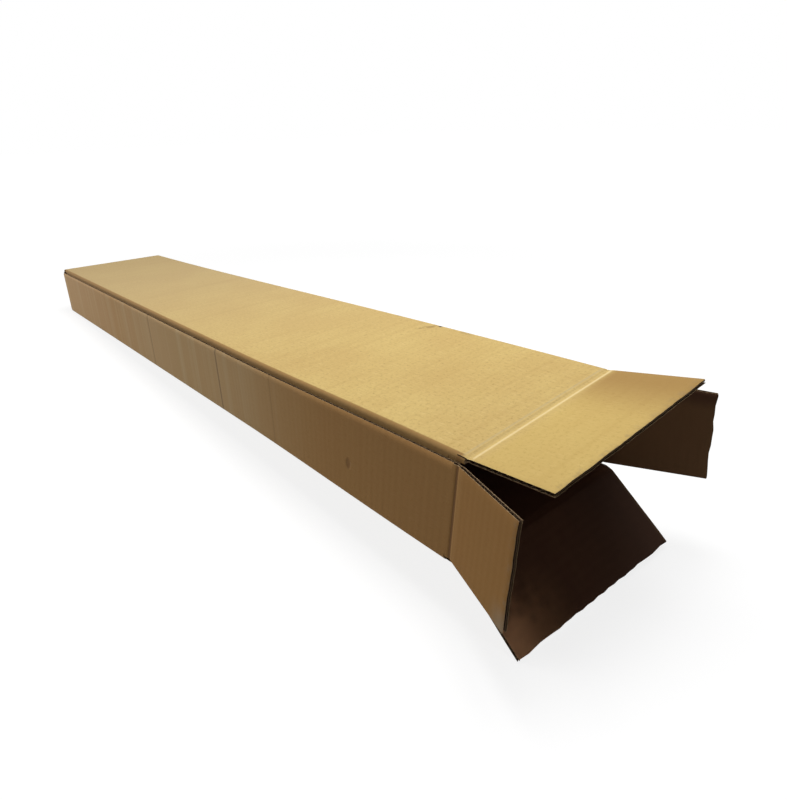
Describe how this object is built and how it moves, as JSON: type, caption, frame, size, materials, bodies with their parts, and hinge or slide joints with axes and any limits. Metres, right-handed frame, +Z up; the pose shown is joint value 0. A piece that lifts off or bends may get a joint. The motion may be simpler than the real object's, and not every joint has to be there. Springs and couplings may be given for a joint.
{
  "type": "cardboard shipping box",
  "caption": "Long flat corrugated cardboard shipping box, closed at the far end and open at the near end with its end flaps spread.",
  "frame": {"origin": "on the floor, under the middle of the whole box with its flaps spread", "axes": "+X along the box towards its open end, +Y across it towards the side without the glued corner, +Z up from the floor; the box is pitched up by 2.46 degrees towards +X, because its open bottom flap props it"},
  "size_m": [1.2004, 0.2604, 0.1472],
  "materials": {
    "kraft_board": "plain uncoated kraft liner, matt"
  },
  "bodies": {
    "carton": {"carton_body": "kraft_board"},
    "top_leaf": {"top_flap": "kraft_board"},
    "bottom_leaf": {"bottom_flap": "kraft_board"},
    "front_leaf": {"front_flap": "kraft_board"},
    "rear_leaf": {"rear_flap": "kraft_board"}
  },
  "joints": [
    {"name": "top_flap_fold", "type": "hinge", "parent": "carton", "child": "top_leaf", "pos_m": [0.52299, -0.00428, 0.12978], "axis": [0, 1, 0], "range_deg": [-116, 99]},
    {"name": "bottom_flap_fold", "type": "hinge", "parent": "carton", "child": "bottom_leaf", "pos_m": [0.53082, -0.00428, 0.05004], "axis": [0, -1, 0], "range_deg": [-81, 134]},
    {"name": "front_flap_fold", "type": "hinge", "parent": "carton", "child": "front_leaf", "pos_m": [0.52211, -0.10228, 0.04766], "axis": [-0.0429, 0, 0.9991], "range_deg": [-106.5, 108.5]},
    {"name": "rear_flap_fold", "type": "hinge", "parent": "carton", "child": "rear_leaf", "pos_m": [0.52211, 0.09372, 0.04766], "axis": [0.0429, 0, -0.9991], "range_deg": [-100, 115]}
  ]
}
